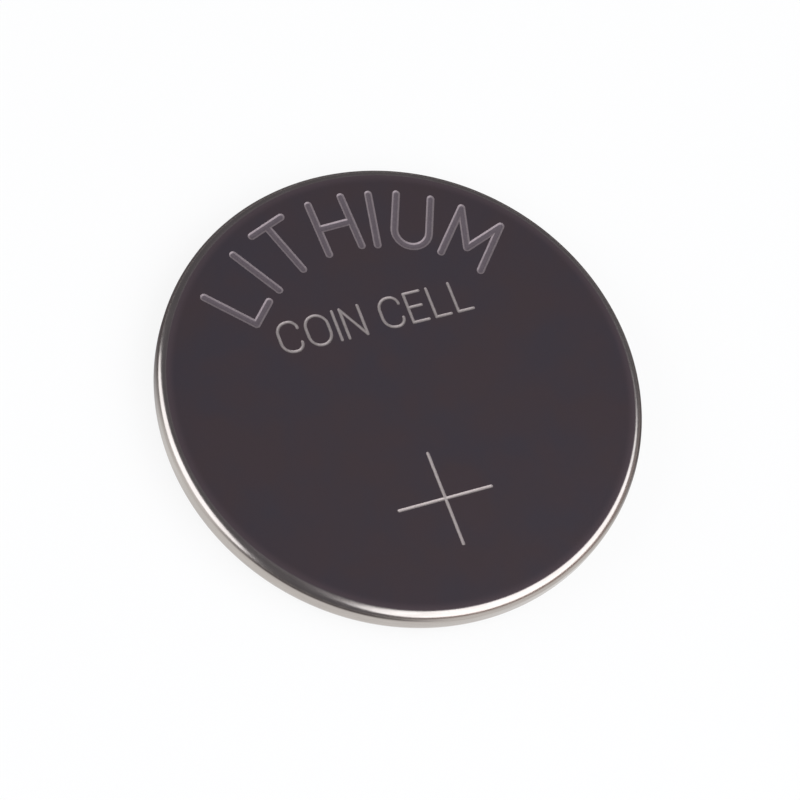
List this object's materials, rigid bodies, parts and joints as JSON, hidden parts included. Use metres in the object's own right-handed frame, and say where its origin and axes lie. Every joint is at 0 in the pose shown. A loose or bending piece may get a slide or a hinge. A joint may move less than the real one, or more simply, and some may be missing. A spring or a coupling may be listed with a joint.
{
  "type": "lithium coin cell",
  "caption": "Flat round lithium coin cell: a stamped can with a dark positive face is crimped over a gasket and a pale negative cap around the cell stack.",
  "frame": {"origin": "centre of the negative face, which the cell lies on", "axes": "+Z along the cell's axis, from the negative face to the positive face; the outside is alike all round it, and the marking of the dressed part has its top towards -X"},
  "size_m": [0.02, 0.02, 0.0016],
  "materials": {
    "can_plated_steel": "nickel-plated stamped steel, dark satin face and bright bends",
    "gasket_polypropylene": "moulded polypropylene with dark sealant",
    "cap_plated_steel": "nickel-plated stamped steel, satin",
    "lithium_metal": "soft rolled metal, dull",
    "separator_felt": "non-woven polypropylene",
    "cathode_mix": "pressed manganese dioxide and carbon, matt",
    "collector_steel": "expanded stainless sheet"
  },
  "bodies": {
    "root": {"positive_can": "can_plated_steel", "sealing_gasket": "gasket_polypropylene", "negative_cap": "cap_plated_steel", "lithium_anode": "lithium_metal", "separator": "separator_felt", "cathode_pellet": "cathode_mix", "cathode_collector": "collector_steel"}
  },
  "joints": []
}
